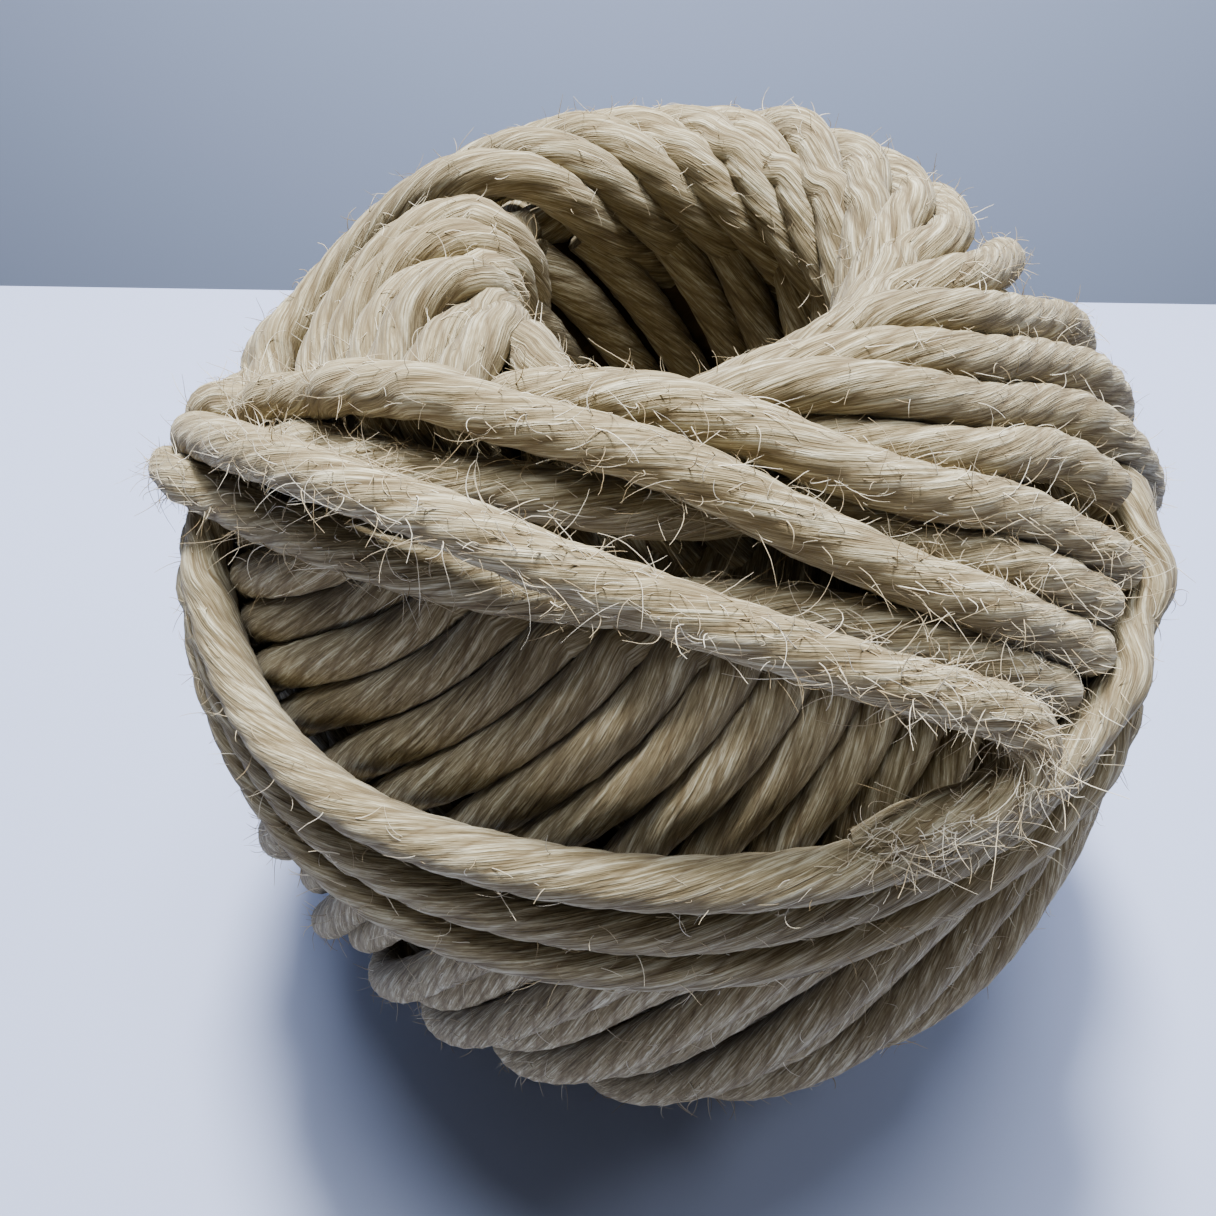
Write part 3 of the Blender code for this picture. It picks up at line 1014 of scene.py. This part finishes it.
def inner_form(form, material):
    """The surface of the layers underneath, a closed ring of the wound form."""
    pick = np.arange(0, len(form.line), INNER_EVERY)
    outline = form.line[pick] - form.normal[pick] * (INNER_DEPTH * STRING)
    turn = 2.0 * math.pi * np.arange(INNER_STEPS) / INNER_STEPS
    columns = (
        np.outer(np.sin(turn), outline[:, 0]),
        np.outer(-np.cos(turn), outline[:, 0]),
        np.outer(np.ones(INNER_STEPS), outline[:, 1]),
    )
    points = np.stack(columns, -1).reshape(-1, 3) + CENTRE
    points[:, 2] = np.maximum(points[:, 2], INNER_LOWEST)
    number = np.arange(len(points)).reshape(INNER_STEPS, len(pick))
    beside = np.roll(number, -1, 0)
    faces = np.stack([number, beside, np.roll(beside, -1, 1), np.roll(number, -1, 1)], -1)
    mesh = bpy.data.meshes.new("inner_layers")
    mesh.from_pydata(points.tolist(), [], faces.reshape(-1, 4).tolist())
    mesh.materials.append(material)
    mesh.shade_smooth()
    mesh.update()
    piece = bpy.data.objects.new("inner_layers", mesh)
    bpy.context.scene.collection.objects.link(piece)
    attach(piece, "root")


def set_camera():
    data = bpy.data.cameras.new("camera")
    data.sensor_width = 36.0
    data.lens = LENS
    data.clip_start = 0.005
    camera = bpy.data.objects.new("camera", data)
    bpy.context.scene.collection.objects.link(camera)
    middle = Vector(CENTRE)
    rise = math.radians(CAMERA_ANGLE)
    place = middle + Vector((0.0, -math.cos(rise), math.sin(rise))) * CAMERA_DISTANCE
    target = middle + Vector(LOOK_BESIDE) * RADIUS
    level = (target - place).to_track_quat("-Z", "Y").to_matrix().to_4x4()
    roll = Matrix.Rotation(math.radians(CAMERA_ROLL), 4, "Z")
    camera.matrix_world = Matrix.Translation(place) @ level @ roll
    bpy.context.scene.camera = camera


def area_light(name, place, size, power, colour, target):
    data = bpy.data.lights.new(name, "AREA")
    data.shape = "DISK"
    data.size = size
    data.energy = power
    data.color = colour
    light = bpy.data.objects.new(name, data)
    light.location = place
    aim = Vector(target) - Vector(place)
    light.rotation_euler = aim.to_track_quat("-Z", "Y").to_euler()
    bpy.context.scene.collection.objects.link(light)


def plain_board(name, corners, colour):
    mesh = bpy.data.meshes.new(name)
    mesh.from_pydata(corners, [], [(0, 1, 2, 3)])
    finish = bpy.data.materials.new(name)
    finish.use_nodes = True
    surface = finish.node_tree.nodes["Principled BSDF"]
    surface.inputs["Base Color"].default_value = rgb(*colour)
    surface.inputs["Roughness"].default_value = 0.7
    mesh.materials.append(finish)
    board = bpy.data.objects.new(name, mesh)
    bpy.context.scene.collection.objects.link(board)


def set_stage():
    for board in BOARDS:
        plain_board(*board)
    for light in LIGHTS:
        area_light(*light)
    world = bpy.data.worlds.new("studio")
    world.use_nodes = True
    sky = world.node_tree.nodes["Background"]
    sky.inputs["Color"].default_value = rgb(*STUDIO_COLOUR)
    sky.inputs["Strength"].default_value = STUDIO_STRENGTH
    bpy.context.scene.world = world


def build():
    rng = np.random.default_rng(7)
    form = WoundForm()
    route = curve_points(TUCKED_ROUTE, False, ROUTE_STEPS)
    tucked = evenly_spaced(route, SPACING * STRING)
    swirl = swirl_turns(form)
    groups = (
        ("tucked", [tucked]),
        ("body", body_turns(form, rng)),
        ("lining", even_layer(form, rng, *HOLE_LINING)),
        ("swirl", swirl),
        ("crossing", [laid(form, rows) for _, rows in CROSSING_TURNS]),
        ("run", [run_to_the_end(form, tucked[0])]),
        ("waist", waist_turns(form)),
    )
    winding = Winding(form, groups, "tucked")
    winding.settle()
    strands = {name: winding.lines(name) for name, _ in groups}

    spinning = spinning_tree()
    string = string_finish("wound_string")
    cord_string = string_finish("tucked_string", TUCKED_SHADE)
    inner_form(form, inner_shade_finish())

    def spun(name, lines, sides, step):
        return spun_piece(name, WOUND_SLOT, lines, spinning, string, rng, Sides=sides, Step=step)

    body = spun("body_turns", strands["body"], 12, 0.22)
    spun("under_turns", even_layer(form, rng, *UNDER_LAYER), 8, 0.32)
    spun("hole_lining_turns", strands["lining"], 12, 0.24)
    spun("swirl_turns", strands["swirl"], 16, 0.19)
    spun("crossing_turns", strands["crossing"] + strands["run"], 20, 0.16)
    spun("waist_turns", strands["waist"], 16, 0.18)
    end = spun_piece(
        "tucked_end_string", TUCKED_SLOT, [tucked], spinning, cord_string, rng, True, Sides=24, Step=0.14
    )

    fibre = fibre_finish()
    sweep = fibre_tree()
    strands["tucked"] = [tucked[FIBRE_START:]]
    strands["bend"] = [tucked[-BEND_POINTS:]]
    for name, slot, groups_used, count, longest, lift_from in LOOSE_FIBRES:
        lines = [line for group in groups_used for line in strands[group]]
        points, edges, attributes = loose_fibres(form, lines, count, rng, longest, lift_from)
        piece = made_piece(name, slot, line_mesh(name, points, edges, attributes), sweep, fibre)

    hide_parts("wound_ball")
    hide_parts("tucked_end")


set_camera()
set_stage()
build()
